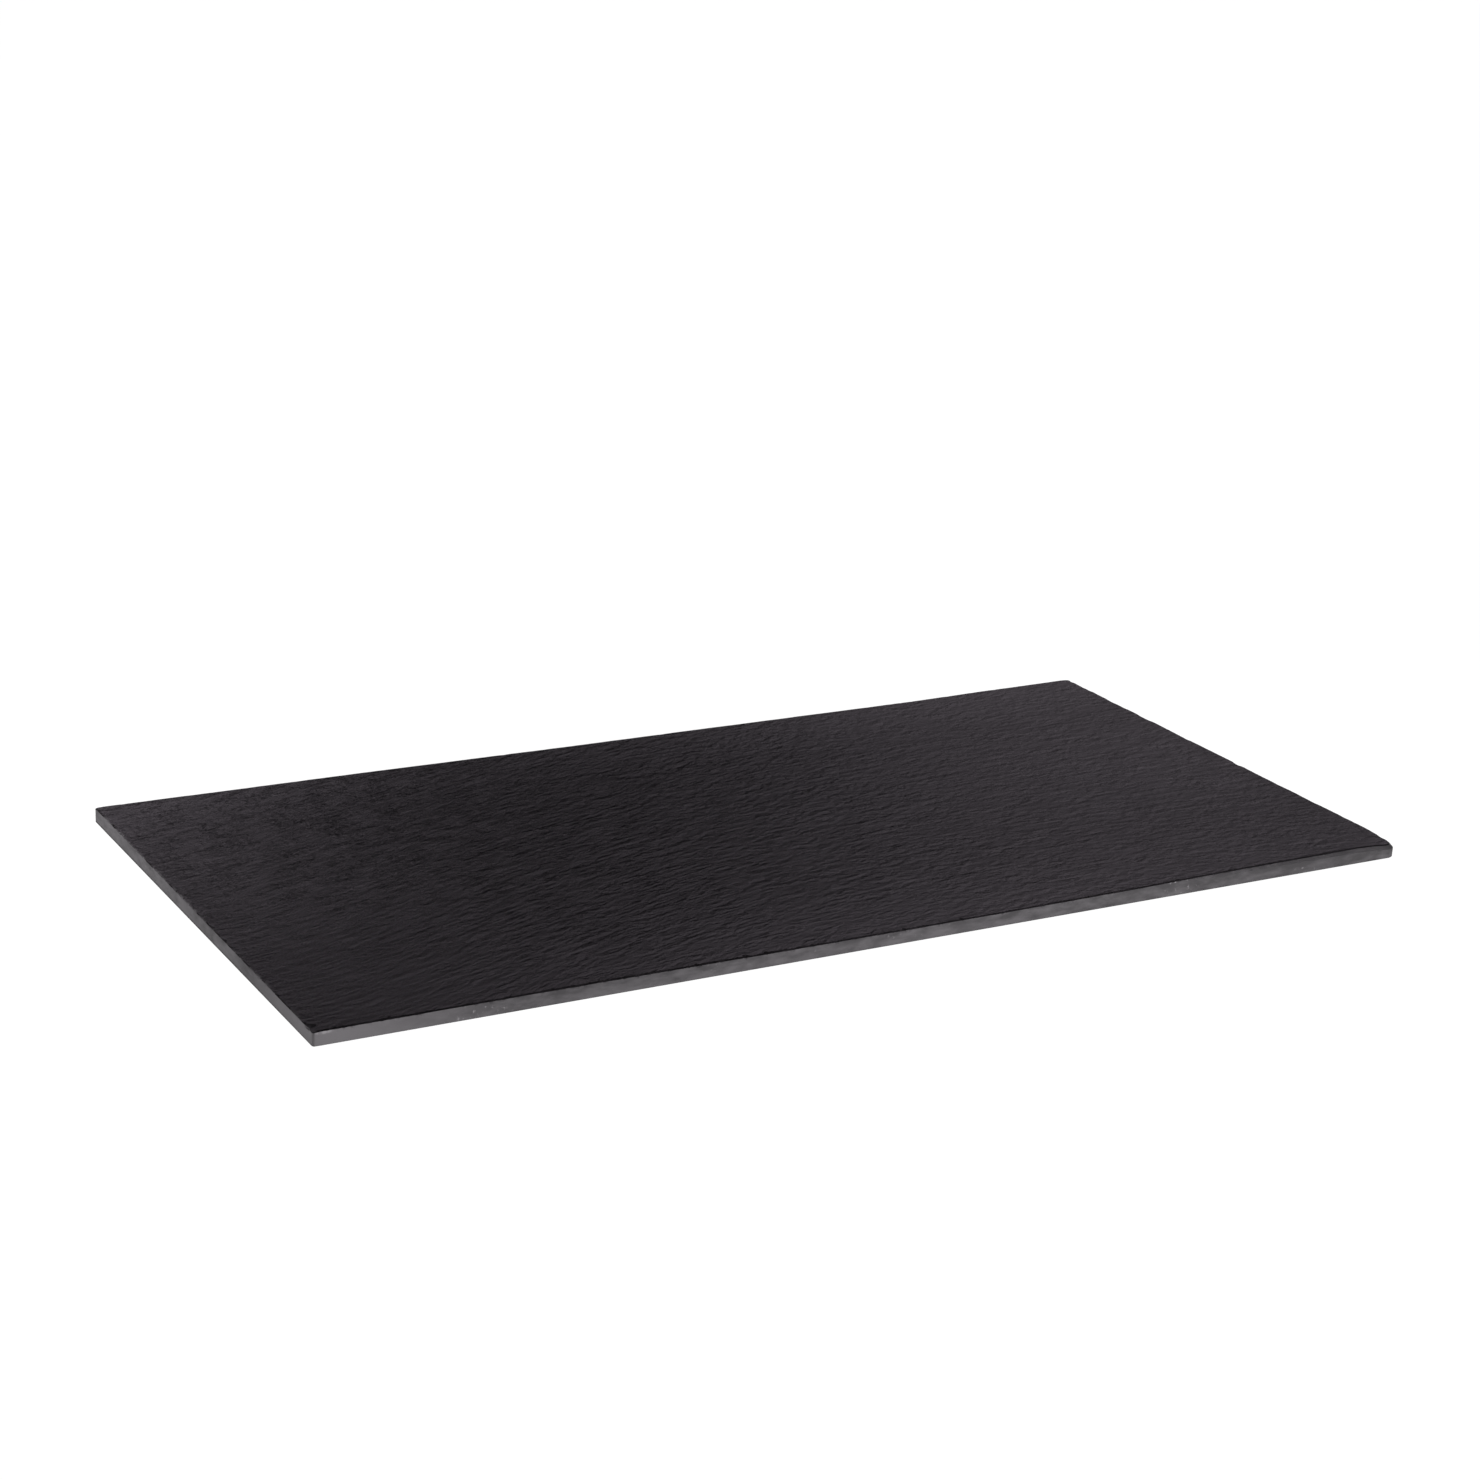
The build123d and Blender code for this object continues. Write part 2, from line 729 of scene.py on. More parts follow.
    def grain_places(self, points: np.ndarray) -> tuple[np.ndarray, np.ndarray, np.ndarray]:
        """Finds each point's place in the grain.

        Args:
            points: One row of x, y and z for each point.

        Returns:
            The way along the grain, the grain line, and how closely the lines crowd there.
        """
        x, y = points[:, 0], points[:, 1]
        widest = self.grain.spread(np.array([self.outline.half_length]))[0]
        slope = self.grain.slope(x, y)
        lean = np.sqrt(1.0 + slope**2)
        crowding = widest / self.grain.spread(x) * lean
        along = x + self.grain.height(x, np.zeros(len(x))) * self.grain_skew
        return along, self.grain.line_at(x, y) * widest, crowding

    def map_grain(self, slab: bpy.types.Object, points: np.ndarray) -> None:
        """Stores the grain's run as a map that the finishes follow.

        Args:
            slab: The slab.
            points: Its vertices while it is flat.
        """
        along, across, _ = self.grain_places(points)
        layer = slab.data.uv_layers.new(name="grain")
        corners = np.empty(len(slab.data.loops), np.int32)
        slab.data.loops.foreach_get("vertex_index", corners)
        pairs = np.column_stack([along[corners], across[corners]])
        layer.data.foreach_set("uv", pairs.astype(np.float32).ravel())

    def relief(self, points: np.ndarray) -> np.ndarray:
        """Adds up the layers of riven relief, from zero downwards."""
        along, across, crowding = self.grain_places(points)
        return sum(layer.heights(along, across, crowding) for layer in self.layers)

    def sunken(self, points: np.ndarray) -> np.ndarray:
        """Adds up the face's sag and the wear of its corners.

        Args:
            points: One row of x, y and z for each point.

        Returns:
            How far the face lies below its highest point.
        """
        depth = self.warp.sag(*self.outline.shares(points).T)
        for wear in self.wears:
            span = self.outline.from_tip(points, wear.corner)
            depth += wear.depth * np.clip(1.0 - span / wear.reach, 0.0, 1.0) ** 2
        return depth

    def chips(self) -> list[Chip]:
        """Scatters chips along each side of the rim, small ones mostly.

        Returns:
            The notches and the scattered chips.
        """
        draw = random.Random(self.seed)
        chips = list(self.notches)
        for chipping in self.chippings:
            start, end = self.outline.stretch(chipping.side)
            for _ in range(round((end - start) / chipping.gap)):
                depth = chipping.depth * draw.uniform(*self.chip_share) ** self.chip_power
                chips.append(Chip(draw.uniform(start, end), draw.uniform(*chipping.reach), depth))
        return chips

    def rounding(self, points: np.ndarray) -> np.ndarray:
        """How far the front arris is rubbed back beside each point: more towards the right end."""
        past_start = self.outline.shares(points)[:, 0] - self.round_start
        return self.round_over * np.clip(past_start / (1.0 - self.round_start), 0.0, 1.0)

    def near_front(self, points: np.ndarray) -> np.ndarray:
        """Falls from one at the front rim to zero where the rubbing back ends."""
        from_rim = points[:, 1] + self.outline.half_width - self.arris
        return np.clip(1.0 - from_rim / self.lip_reach, 0.0, 1.0)

    def drawn_in(self, points: np.ndarray, bite: np.ndarray) -> np.ndarray:
        """Finds how the face's points move in from its rim.

        Args:
            points: The flat slab's vertices.
            bite: How deeply the rim is chipped beside each of them.

        Returns:
            One row of x and y for each point.
        """
        rim = np.clip(1.0 - (self.outline.inside(points) - self.arris) / self.lip_reach, 0.0, 1.0)
        shift = -self.outline.outward(points) * (bite * rim)[:, None]
        shift[:, 1] += (self.front_lip + self.rounding(points)) * self.near_front(points)
        return shift

    def bite(self, slab: bpy.types.Object, points: np.ndarray) -> np.ndarray:
        """Works out how deeply the rim is chipped beside each point.

        Args:
            slab: The flat slab, with its bands sorted.
            points: Its vertices.

        Returns:
            One depth for each point, eased wherever a chip would fold the face over itself.
        """
        way = self.outline.along_rim(points)
        depth = np.zeros(len(points))
        for chip in self.chips():
            share = 1.0 - ((way - chip.place) / chip.reach) ** 2
            depth = np.maximum(depth, chip.depth * np.clip(share, 0.0, 1.0))
        to_right = self.outline.shares(points)[:, 0]
        front = np.clip(-self.outline.outward(points)[:, 1], 0.0, 1.0)
        fresh_up_to = self.round_start - self.round_blend
        worn = smooth_step(fresh_up_to, self.round_start + self.round_blend, to_right)
        depth *= 1.0 - (1.0 - self.worn_chips) * front * worn
        for corner in Corner:
            start, end = (self.outline.radius(corner) * times for times in self.corner_fade)
            depth *= smooth_step(start, end, self.outline.from_tip(points, corner))
        return self.eased(slab, points, depth)

    def eased(self, slab: bpy.types.Object, points: np.ndarray, bite: np.ndarray) -> np.ndarray:
        """Eases the chips that would fold the serving face over itself.

        Args:
            slab: The flat slab, with its bands sorted.
            points: Its vertices.
            bite: How deeply the rim is chipped beside each of them.

        Returns:
            The eased depths.
        """
        slab.data.calc_loop_triangles()
        triangles = np.array([
            triangle.vertices
            for triangle in slab.data.loop_triangles
            if triangle.material_index == Band.FACE.value
        ])
        depth = bite.copy()
        before = self.areas(points[triangles, :2])
        for _ in range(self.easings):
            after = self.areas((points[:, :2] + self.drawn_in(points, depth))[triangles])
            folded = triangles[after < self.least_area * before]
            depth[np.unique(folded)] *= self.easing
        return depth

    @staticmethod
    def areas(triangles: np.ndarray) -> np.ndarray:
        """Measures flat triangles.

        Args:
            triangles: The x and y of each triangle's three corners.

        Returns:
            Twice each triangle's area, less than zero where it is turned over.
        """
        first = triangles[:, 1] - triangles[:, 0]
        last = triangles[:, 2] - triangles[:, 0]
        return first[:, 0] * last[:, 1] - first[:, 1] * last[:, 0]

    def weathered(self, nominal: np.ndarray, pads: list[Vector], bite: np.ndarray) -> np.ndarray:
        """Moves the flat slab's points into its riven, chipped and sawn shape.

        Args:
            nominal: The flat slab's vertices.
            pads: The middles of the flat places under the feet.
            bite: How deeply the rim is chipped beside each vertex.

        Returns:
            The moved vertices, none of them outside the flat slab.
        """
        points = nominal.copy()
        middle = (self.low.z + self.high.z) / 2
        # A ring of points is told from the next one by a height halfway between them.
        face = nominal[:, 2] > self.high.z - 0.5 * self.arris_drop
        arris_foot = ~face & (nominal[:, 2] > self.high.z - 1.5 * self.arris_drop)
        lower = nominal[:, 2] < self.low.z + 0.5 * self.bottom_rise
        walls = ~face & ~arris_foot & ~lower
        inside = self.outline.inside(nominal)
        outward = self.outline.outward(nominal)
        relief = self.relief(nominal)

        share = np.clip((nominal[:, 2] - self.low.z) / (self.high.z - self.low.z), 0.0, 1.0)
        points[:, 2] -= self.sunken(nominal) * share
        upper = nominal[:, 2] > middle
        fade = 1.0 - smooth_step(0.0, self.wall_drops[1], self.high.z - nominal[:, 2])
        points[upper, 2] += (relief * fade)[upper]

        points[face, :2] += self.drawn_in(nominal, bite)[face]
        points[arris_foot, :2] -= (outward * (self.foot_bite * bite)[:, None])[arris_foot]
        points[arris_foot, 1] += (self.rounding(nominal) * self.near_front(nominal))[arris_foot]
        points[arris_foot, 2] -= np.minimum(self.foot_drop * bite, self.chip_drop)[arris_foot]

        places = nominal / np.array(self.saw_mark) + np.array([0.0, 0.0, self.saw_shift])
        ragged = np.zeros(len(points))
        ragged[walls] = [noise.noise(place) for place in places[walls].tolist()]
        points[walls, :2] -= (outward * (self.saw_depth * (1.0 + ragged))[:, None])[walls]

        flat = smooth_step(self.bottom_arris, self.underside_inset, inside)
        for pad in pads:
            reach = np.hypot(nominal[:, 0] - pad.x, nominal[:, 1] - pad.y)
            flat = np.minimum(flat, smooth_step(self.pad_radius, self.pad_radius + self.pad_blend, reach))
        points[lower, 2] -= (relief * flat)[lower]
        return np.clip(points, np.array(self.low), np.array(self.high))

    def dress(self, slab: bpy.types.Object) -> None:
        """Gives each band its finish, and sets the slab in the place of its solid.

        Args:
            slab: The finished slab.
        """
        riven = RivenFinish().make()
        # The arrises at the top and the bottom of the edges take the rim finish, whose dark colour is
        # painted shade.
        for material in (riven, RimFinish().make(), SawnFinish().make(), riven):
            slab.data.materials.append(material)
        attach(slab, BODY)
        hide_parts("slate_slab")
        slab.data.calc_loop_triangles()
        LOG.info("%s: %d triangles", slab.name, len(slab.data.loop_triangles))


@dataclass(frozen=True)
class Foot:
    """A rubber pad under one corner of the board, with the adhesive disc that holds it."""

    corner: Corner

    @property
    def middle(self) -> Vector:
        """The middle of the adhesive disc."""
        low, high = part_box(f"adhesive_{self.corner.label}")
        return (low + high) / 2

    def dress(self, rubber: bpy.types.Material, adhesive: bpy.types.Material) -> None:
        """Gives the pad and its disc their finishes.

        Args:
            rubber: The pad's finish.
            adhesive: The disc's finish.
        """
        for kind, material in (("foot", rubber), ("adhesive", adhesive)):
            node = f"{kind}_{self.corner.label}"
            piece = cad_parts[node]
            piece.data.materials.clear()
            piece.data.materials.append(material)
            LOG.info("%s: dressed in %s", node, material.name)


@dataclass(frozen=True)
class Ramp:
    """A range of values, and the range that they are mapped onto and held in."""

    given: tuple[float, float]
    wanted: tuple[float, float] = (0.0, 1.0)


class Nodes:
    """A small helper that lays out one material's nodes."""

    blend_gain: float = 1.66

    def __init__(self, name: str) -> None:
        """Starts a material with a principled shader.

        Args:
            name: The material's name.
        """
        self.material = bpy.data.materials.new(name)
        self.material.use_nodes = True
        self.tree = self.material.node_tree
        self.shader = self.tree.nodes["Principled BSDF"]

    def add(self, kind: str, **settings: object) -> bpy.types.Node:
        """Adds a node and sets its properties.

        Args:
            kind: The node's type.
            settings: Properties of the node by name.

        Returns:
            The new node.
        """
        node = self.tree.nodes.new(kind)
        for key, value in settings.items():
            setattr(node, key, value)
        return node

    def link(self, source: Socket, target: Socket) -> None:
        """Joins an output to an input."""
        self.tree.links.new(source, target)

    def scaled(self, places: Socket, scale: Place) -> Socket:
        """Scales coordinates.

        Args:
            places: The coordinates.
            scale: How many times as fast they grow along each axis.

        Returns:
            The scaled coordinates.
        """
        mapping = self.add("ShaderNodeMapping")
        mapping.inputs["Scale"].default_value = scale
        self.link(places, mapping.inputs["Vector"])
        return mapping.outputs["Vector"]

    def object_places(self, scale: Place) -> Socket:
        """Object coordinates, scaled along each axis."""
        return self.scaled(self.add("ShaderNodeTexCoord").outputs["Object"], scale)

    def grain_places(self, along: float, across: float) -> Socket:
        """Coordinates that run with the grain, in units of a mark's length and width."""
        grain = self.add("ShaderNodeUVMap", uv_map="grain")
        return self.scaled(grain.outputs["UV"], (1 / along, 1 / across, 1.0))

    def math(self, operation: str, *values: Socket | float) -> Socket:
        """Works out one sum.

        Args:
            operation: The sum.
            values: The values that it takes, each of them a number or an output.

        Returns:
            The answer.
        """
        node = self.add("ShaderNodeMath", operation=operation)
        for socket, value in zip(node.inputs, values):
            if isinstance(value, float):
                socket.default_value = value
            else:
                self.link(value, socket)
        return node.outputs["Value"]

    def product(self, first: Socket, second: Socket | float) -> Socket:
        """Multiplies two values."""
        return self.math("MULTIPLY", first, second)

    def axis(self, name: str) -> Socket:
        """Reads one of the object's own coordinates.

        Args:
            name: The axis, X, Y or Z.

        Returns:
            The coordinate, in metres.
        """
        parts = self.add("ShaderNodeSeparateXYZ")
        self.link(self.object_places((1.0, 1.0, 1.0)), parts.inputs["Vector"])
        return parts.outputs[name]

    def ramp(self, value: Socket, ramp: Ramp) -> Socket:
        """Maps a value by a ramp.

        Args:
            value: The value.
            ramp: The ranges.

        Returns:
            The mapped value, held in the wanted range.
        """
        node = self.add("ShaderNodeMapRange")
        ends = ("From Min", "From Max", "To Min", "To Max")
        for key, number in zip(ends, (*ramp.given, *ramp.wanted)):
            node.inputs[key].default_value = number
        self.link(value, node.inputs["Value"])
        return node.outputs["Result"]

    def along(self, axis: str, ramp: Ramp) -> Socket:
        """Maps one of the object's own coordinates by a ramp."""
        return self.ramp(self.axis(axis), ramp)

    def near(
        self,
        place: Place,
        reach: tuple[float, float],
        stretch: Place = (1.0, 1.0, 1.0),
    ) -> Socket:
        """Masks the surroundings of a place.

        Args:
            place: The middle of the mask, in object coordinates.
            reach: The distances where the mask starts to fade and where it ends.
            stretch: How many times as fast the distance grows along each axis.

        Returns:
            One at the place, and zero beyond the reach.
        """
        span = self.add("ShaderNodeVectorMath", operation="DISTANCE")
        span.inputs[1].default_value = [middle * times for middle, times in zip(place, stretch)]
        self.link(self.object_places(stretch), span.inputs[0])
        return self.ramp(span.outputs["Value"], Ramp(reach, (1.0, 0.0)))

    def noise(self, places: Socket, detail: float, roughness: float = 0.5) -> Socket:
        """Makes smooth noise.

        Args:
            places: The coordinates, in units of a mark's size.
            detail: How many finer octaves there are.
            roughness: How strong the finer octaves are.

        Returns:
            The noise, from 0 to 1.
        """
        texture = self.add("ShaderNodeTexNoise")
        texture.inputs["Scale"].default_value = 1.0
        texture.inputs["Detail"].default_value = detail
        texture.inputs["Roughness"].default_value = roughness
        self.link(places, texture.inputs["Vector"])
        return texture.outputs["Fac"]

    def speckle(self, per_metre: float, detail: float) -> Socket:
        """Noise of the same size along every axis."""
        return self.noise(self.object_places((per_metre, per_metre, per_metre)), detail)

    def grain_noise(
        self,
        left: tuple[float, float],
        right: tuple[float, float],
        detail: float,
        roughness: float,
    ) -> Socket:
        """Makes noise that runs with the grain, and changes its size along the board.

        Args:
            left: A mark's length and width at the left end.
            right: A mark's length and width at the right end.
            detail: How many finer octaves there are.
            roughness: How strong the finer octaves are.

        Returns:
            The noise, from about -0.5 to 0.5.
        """
        share = self.along("X", Ramp(BOARD_ENDS, (1.0, 0.0)))
        rest = self.math("SUBTRACT", 1.0, share)
        at_left = self.math("SUBTRACT", self.noise(self.grain_places(*left), detail, roughness), 0.5)
        at_right = self.math("SUBTRACT", self.noise(self.grain_places(*right), detail, roughness), 0.5)
        blend = self.math("ADD", self.product(at_left, share), self.product(at_right, rest))
        # Two unlike noises partly cancel where they are mixed, so the middle is made stronger.
        lost = self.product(self.product(share, rest), self.blend_gain)
        return self.product(blend, self.math("ADD", lost, 1.0))

    def mix(
        self,
        share: Socket,
        first: Colour | Socket,
        second: Colour | Socket,
    ) -> Socket:
        """Mixes two colours.

        Args:
            share: How much of the second colour there is.
            first: A colour, or an output that gives one.
            second: A colour, or an output that gives one.

        Returns:
            The mixed colour.
        """
        node = self.add("ShaderNodeMix", data_type="RGBA")
        self.link(share, node.inputs["Factor"])
        for socket, colour in zip(node.inputs[6:8], (first, second)):
            if isinstance(colour, tuple):
                socket.default_value = (*colour, 1.0)
            else:
                self.link(colour, socket)
        return node.outputs[2]

    def bump(self, height: Socket, distance: float) -> None:
        """Drives the shader's normal from a height.

        Args:
            height: The height.
            distance: The depth that a height of one stands for.
        """
        node = self.add("ShaderNodeBump")
        node.inputs["Strength"].default_value = 1.0
        node.inputs["Distance"].default_value = distance
        self.link(height, node.inputs["Height"])
        self.link(node.outputs["Normal"], self.shader.inputs["Normal"])

    def gloss(self, roughness: float, specular: float | None = None) -> None:
        """Sets how the shader shines.

        Args:
            roughness: The roughness all over.
            specular: The specular level, if it isn't the usual one.
        """
        self.shader.inputs["Roughness"].default_value = roughness
        if specular is not None:
            self.shader.inputs["Specular IOR Level"].default_value = specular


@dataclass(frozen=True)
class RivenFinish:
    """Oiled black slate as it splits, with fine fibres along its grain, and painted light along the back
    and front of its face.

    A mark has a length and a width along the grain. Ramps along X and Y are in metres, and the others
    are over noise.
    """

    name: str = "riven_slate"
    dark: Colour = (0.0204, 0.0188, 0.0204)
    pale: Colour = (0.0316, 0.0291, 0.0316)
    # The paler colour that paints light along the back and front of the face.
    worn: Colour = (0.0433, 0.0399, 0.0433)
    specular: float = 0.035
    streak: tuple[float, float] = (26 * MM, 3.2 * MM)
    paleness: Ramp = Ramp((0.3, 0.7))
    roughness: Ramp = Ramp((0.3, 0.7), (0.56, 0.66))
    wear_at_back: Ramp = Ramp((0.075, 0.120), (0.0, 0.5))
    wear_at_front: Ramp = Ramp((-0.070, -0.120), (0.0, 0.3))
    left_fibre: tuple[float, float] = (11.0 * MM, 3.8 * MM)
    right_fibre: tuple[float, float] = (6.5 * MM, 3.4 * MM)
    grit: tuple[float, float] = (3.0 * MM, 2.6 * MM)
    grit_share: Ramp = Ramp((-0.25, -0.05), (0.45, 0.3))
    patch: tuple[float, float] = (18 * MM, 8 * MM)
    patchiness: Ramp = Ramp((0.3, 0.7), (0.25, 1.75))
    rise_at_left: Ramp = Ramp((-0.25, -0.13), (0.55, 1.0))
    rise_at_front: Ramp = Ramp((-0.11, 0.02), (0.33, 1.0))
    left_share: Ramp = Ramp((-0.10, 0.12), (1.0, 0.0))
    rise_at_right: Ramp = Ramp((-0.10, 0.12), (0.0, 0.22))
    depth: float = 8.6 * MM

    def make(self) -> bpy.types.Material:
        """Builds the material.

        Returns:
            The finished material.
        """
        nodes = Nodes(self.name)
        streaks = nodes.noise(nodes.grain_places(*self.streak), detail=3.0, roughness=0.6)
        body = nodes.mix(nodes.ramp(streaks, self.paleness), self.dark, self.pale)
        # Paler bands along the back and the front of the face are painted light.
        at_back = nodes.along("Y", self.wear_at_back)
        wear = nodes.math("MAXIMUM", at_back, nodes.along("Y", self.wear_at_front))
        nodes.link(nodes.mix(wear, body, self.worn), nodes.shader.inputs["Base Color"])
        nodes.link(nodes.ramp(streaks, self.roughness), nodes.shader.inputs["Roughness"])
        nodes.shader.inputs["Specular IOR Level"].default_value = self.specular
        nodes.bump(nodes.product(self.fibres(nodes), self.rise(nodes)), self.depth)
        return nodes.material

    def fibres(self, nodes: Nodes) -> Socket:
        """Lays out the fibres and the grit among them.

        Args:
            nodes: The material's nodes.

        Returns:
            Heights from about -0.5 to 0.5.
        """
        fibres = nodes.grain_noise(self.left_fibre, self.right_fibre, detail=3.0, roughness=0.52)
        grit = nodes.math("SUBTRACT", nodes.noise(nodes.grain_places(*self.grit), detail=1.0), 0.5)
        return nodes.math("ADD", fibres, nodes.product(grit, nodes.along("X", self.grit_share)))

    def rise(self, nodes: Nodes) -> Socket:
        """Works out how strongly the fibres stand up over the face.

        Args:
            nodes: The material's nodes.

        Returns:
            Their strength, from zero upwards.
        """
        at_left = nodes.product(nodes.along("Y", self.rise_at_front), nodes.along("X", self.left_share))
        rise = nodes.math("ADD", at_left, nodes.along("X", self.rise_at_right))
        rise = nodes.product(rise, nodes.along("X", self.rise_at_left))
        patches = nodes.noise(nodes.grain_places(*self.patch), detail=2.0)
        return nodes.product(rise, nodes.ramp(patches, self.patchiness))


@dataclass(frozen=True)
class RimFinish:
    """The arris between a face and a sawn edge, darkened with painted shade that grey dashes break up
    along the left edge.

    Marks are counted per metre.
    """

    name: str = "dark_arris"
    # The two dark colours are painted shade along the arrises, and the grey after them breaks it into
    # dashes along the left edge.
    dark: Colour = (0.0030, 0.0027, 0.0030)
    pale: Colour = (0.0080, 0.0072, 0.0080)
    rubbed: Colour = (0.042, 0.0412, 0.042)
    roughness: float = 0.7
    specular: float = 0.05
    patches: float = 260.0
    paleness: Ramp = Ramp((0.35, 0.65))
    dashes: float = 170.0
    dash_share: Ramp = Ramp((0.42, 0.54))
    left_edge: Ramp = Ramp((-0.2496, -0.2478), (1.0, 0.0))
    pits: float = 900.0
    pit_depth: float = 0.1 * MM

    def make(self) -> bpy.types.Material:
        """Builds the material.

        Returns:
            The finished material.
        """
        nodes = Nodes(self.name)
        # Painted shade, broken by grey dashes along the left edge.
        patches = nodes.speckle(self.patches, detail=2.0)
        body = nodes.mix(nodes.ramp(patches, self.paleness), self.dark, self.pale)
        dashes = nodes.ramp(nodes.speckle(self.dashes, detail=2.0), self.dash_share)
        rubbing = nodes.product(nodes.along("X", self.left_edge), dashes)
        nodes.link(nodes.mix(rubbing, body, self.rubbed), nodes.shader.inputs["Base Color"])
        nodes.gloss(self.roughness, self.specular)
        nodes.bump(nodes.speckle(self.pits, detail=2.0), self.pit_depth)
        return nodes.material


@dataclass(frozen=True)
class SawnFinish:
    """Dry grey slate as the saw leaves it: mottled, pale at one corner, with painted shade low on the left
    edge and on the front left corner.

    Marks are counted per metre. Ramps along X, Y and Z are in metres, and others are over noise.
    """

    name: str = "sawn_slate"
    dark: Colour = (0.023, 0.0224, 0.023)
    pale: Colour = (0.052, 0.0507, 0.052)
    dry: Colour = (0.074, 0.0723, 0.074)
    # The colour of the painted shade.
    grime: Colour = (0.006, 0.0059, 0.006)
    fresh: Colour = (0.14, 0.138, 0.14)
    roughness: float = 0.8
    specular: float = 0.25
    mottling: Place = (110.0, 110.0, 300.0)
    dust_by_height: Ramp = Ramp((1.6 * MM, 5.6 * MM), (0.10, -0.05))
    dust_by_length: Ramp = Ramp((0.04, 0.14), (0.0, -0.09))
    paleness: Ramp = Ramp((0.33, 0.67))
    left_edge: Ramp = Ramp((-0.2497, -0.2488), (1.0, 0.0))
    left_dryness: Ramp = Ramp((0.3, 0.6), (0.1, 0.4))
    corner: Place = (-0.25, -0.125, 0.004)
    corner_dryness: tuple[float, float] = (12 * MM, 75 * MM)
    corner_grime: tuple[float, float] = (0.5 * MM, 1.1 * MM)
    corner_grime_share: float = 0.5
    grime_line: Ramp = Ramp((1.7 * MM, 2.2 * MM), (1.0, 0.0))
    grime_haze: Ramp = Ramp((2.4 * MM, 4.2 * MM), (0.1, 0.0))
    grime_along: Ramp = Ramp((-0.12, -0.06), (0.4, 1.0))
    flecks: float = 620.0
    fleck_share: Ramp = Ramp((0.65, 0.75), (0.0, 0.8))
    fleck_fields: float = 28.0
    field_share: Ramp = Ramp((0.56, 0.68))
    chip: Place = (-0.2455, -0.125, 0.0064)
    chip_reach: tuple[float, float] = (2.0 * MM, 4.2 * MM)
    chip_stretch: Place = (1.0, 1.0, 4.0)
    chip_flecks: Ramp = Ramp((0.40, 0.55), (0.2, 1.0))
    saw_marks: Place = (300.0, 300.0, 1400.0)
    saw_depth: float = 0.12 * MM

    def make(self) -> bpy.types.Material:
        """Builds the material.

        Returns:
            The finished material.
        """
        nodes = Nodes(self.name)
        mottle = nodes.noise(nodes.object_places(self.mottling), detail=4.0, roughness=0.62)
        # The mottle is shifted paler low on the edges, and darker towards their tops and towards the right
        # end.
        toned = nodes.math("ADD", mottle, nodes.along("Z", self.dust_by_height))
        toned = nodes.math("ADD", toned, nodes.along("X", self.dust_by_length))
        body = nodes.mix(nodes.ramp(toned, self.paleness), self.dark, self.pale)
        # Paler in mottled patches on the left edge, and towards the front left corner.
        patchy = nodes.product(nodes.along("X", self.left_edge), nodes.ramp(mottle, self.left_dryness))
        paling = nodes.math("MAXIMUM", nodes.near(self.corner, self.corner_dryness), patchy)
        body = nodes.mix(paling, body, self.dry)
        # Painted shade: a dark line low on the left edge, and a dark stripe down the front left corner.
        body = nodes.mix(self.grimy(nodes), body, self.grime)
        nodes.link(nodes.mix(self.bare(nodes), body, self.fresh), nodes.shader.inputs["Base Color"])
        nodes.gloss(self.roughness, self.specular)
        nodes.bump(nodes.noise(nodes.object_places(self.saw_marks), detail=3.0), self.saw_depth)
        return nodes.material

    def bare(self, nodes: Nodes) -> Socket:
        """Masks fresh stone, in fields of flecks and at one chip.

        Args:
            nodes: The material's nodes.

        Returns:
            How much fresh stone there is, from zero to one.
        """
        flecks = nodes.speckle(self.flecks, detail=2.0)
        fields = nodes.ramp(nodes.speckle(self.fleck_fields, detail=1.0), self.field_share)
        specks = nodes.product(nodes.ramp(flecks, self.fleck_share), fields)
        knock = nodes.near(self.chip, self.chip_reach, self.chip_stretch)
        knock = nodes.product(knock, nodes.ramp(flecks, self.chip_flecks))
        return nodes.math("MAXIMUM", specks, knock)

    def grimy(self, nodes: Nodes) -> Socket:
        """Masks the painted shade low on the left edge and down the middle of the front left corner.

        Args:
            nodes: The material's nodes.

        Returns:
            How much painted shade there is, from zero to one.
        """
        line = nodes.product(nodes.along("Z", self.grime_line), nodes.along("Y", self.grime_along))
        low = nodes.math("MAXIMUM", line, nodes.along("Z", self.grime_haze))
        low = nodes.product(nodes.along("X", self.left_edge), low)
        arris = nodes.near(self.corner, self.corner_grime, (1.0, 1.0, 0.0))
        return nodes.math("MAXIMUM", low, nodes.product(arris, self.corner_grime_share))


@dataclass(frozen=True)
class RubberFinish:
    """Black moulded rubber with a fine matt skin. Marks are counted per metre."""

    name: str = "foot_rubber"
    dark: Colour = (0.012, 0.012, 0.013)
    pale: Colour = (0.030, 0.030, 0.031)
    roughness: float = 0.7
    dust: float = 420.0
    dust_share: Ramp = Ramp((0.35, 0.75))
    pores: float = 2600.0
    pore_depth: float = 0.03 * MM

    def make(self) -> bpy.types.Material:
        """Builds the material.

        Returns:
            The finished material.
        """
        nodes = Nodes(self.name)
        dust = nodes.ramp(nodes.speckle(self.dust, detail=3.0), self.dust_share)
        nodes.link(nodes.mix(dust, self.dark, self.pale), nodes.shader.inputs["Base Color"])
        nodes.gloss(self.roughness)
        nodes.bump(nodes.speckle(self.pores, detail=1.0), self.pore_depth)
        return nodes.material


